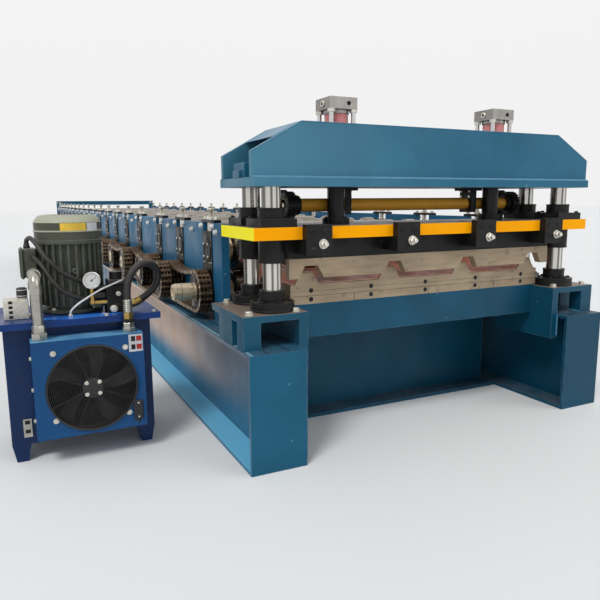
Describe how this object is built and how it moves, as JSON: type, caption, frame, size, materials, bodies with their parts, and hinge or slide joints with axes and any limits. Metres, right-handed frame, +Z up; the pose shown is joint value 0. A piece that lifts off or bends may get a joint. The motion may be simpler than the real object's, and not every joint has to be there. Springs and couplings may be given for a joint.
{
  "type": "roll forming machine",
  "caption": "Ribbed roofing sheet roll forming line with a guillotine cutter at its exit and a standing hydraulic power unit.",
  "frame": {"origin": "on the floor at the middle of the front cross beam's underside", "axes": "+Y back along the line from the cutter to the entry end, +Z up, +X to the right as seen from the cutter's front"},
  "size_m": [2.32, 8.399, 1.23],
  "materials": {
    "teal_paint": "gloss machine enamel",
    "blue_paint": "gloss enamel",
    "cooler_blue": "gloss enamel",
    "yellow_paint": "gloss enamel",
    "amber_paint": "satin",
    "red_paint": "satin",
    "grey_green_paint": "satin",
    "black_oxide": "satin",
    "machined_steel": "satin",
    "chrome_steel": "polished",
    "roll_steel": "oiled",
    "chain_steel": "oiled",
    "galvanised": "galvanised",
    "brass": "dull",
    "zinc": "zinc plated",
    "sheet_coating": "gloss coil coating",
    "black_plastic": "matte"
  },
  "bodies": {
    "frame": {"base_beam_left": "teal_paint", "base_beam_right": "teal_paint", "cross_beams": "teal_paint", "stand_plates_left": "teal_paint", "stand_plates_right": "teal_paint", "bearing_blocks": "black_oxide", "adjusting_screws": "zinc", "lower_rolls": "roll_steel", "upper_rolls": "roll_steel", "sprockets": "chain_steel", "drive_chains": "chain_steel", "formed_sheet": "sheet_coating", "stools": "teal_paint", "guide_posts": "chrome_steel", "post_sockets": "black_oxide", "blade_beam": "teal_paint", "lower_die": "machined_steel", "crown_base_plate": "teal_paint", "crown_webs": "teal_paint", "crown_cover": "teal_paint", "cylinder_caps": "machined_steel", "cylinder_barrels": "red_paint", "cylinder_tie_rods": "chrome_steel", "shaft_brackets": "black_oxide", "entry_frame": "teal_paint", "entry_roller": "roll_steel", "oil_tank": "blue_paint", "tank_lid": "blue_paint", "cooler_housing": "cooler_blue", "fan_motor": "black_oxide", "guard_rings": "black_oxide", "guard_spokes": "black_oxide", "motor_body": "grey_green_paint", "motor_fan_cover": "grey_green_paint", "terminal_box": "grey_green_paint", "valve_block": "black_oxide", "pressure_gauge": "chrome_steel", "gauge_pipe": "brass", "return_pipe": "galvanised"},
    "ram": {"slide_plate": "yellow_paint", "slide_bushes": "black_oxide", "blade_clamps": "black_oxide", "blade_holder": "black_oxide", "upper_blade": "machined_steel", "cylinder_rods": "black_oxide", "slide_racks": "black_oxide"},
    "level_shaft": {"level_shaft": "amber_paint", "level_gears": "black_oxide"},
    "fan": {"cooler_fan": "black_plastic"}
  },
  "joints": [
    {"name": "ram_slide", "type": "slide", "parent": "frame", "child": "ram", "axis": [0, 0, 1], "range_m": [-0.045, 0]},
    {"name": "level_turn", "type": "hinge", "parent": "frame", "child": "level_shaft", "pos_m": [0, -0.206, 0.861], "axis": [1, 0, 0], "range_deg": [-56.3, 0]},
    {"name": "fan_spin", "type": "hinge", "parent": "frame", "child": "fan", "pos_m": [-1.225, -0.07, 0.257], "axis": [0, 1, 0], "continuous": true}
  ],
  "couplings": [
    {"joint": "level_turn", "follows": "ram_slide", "rad_per_m": 21.739}
  ]
}
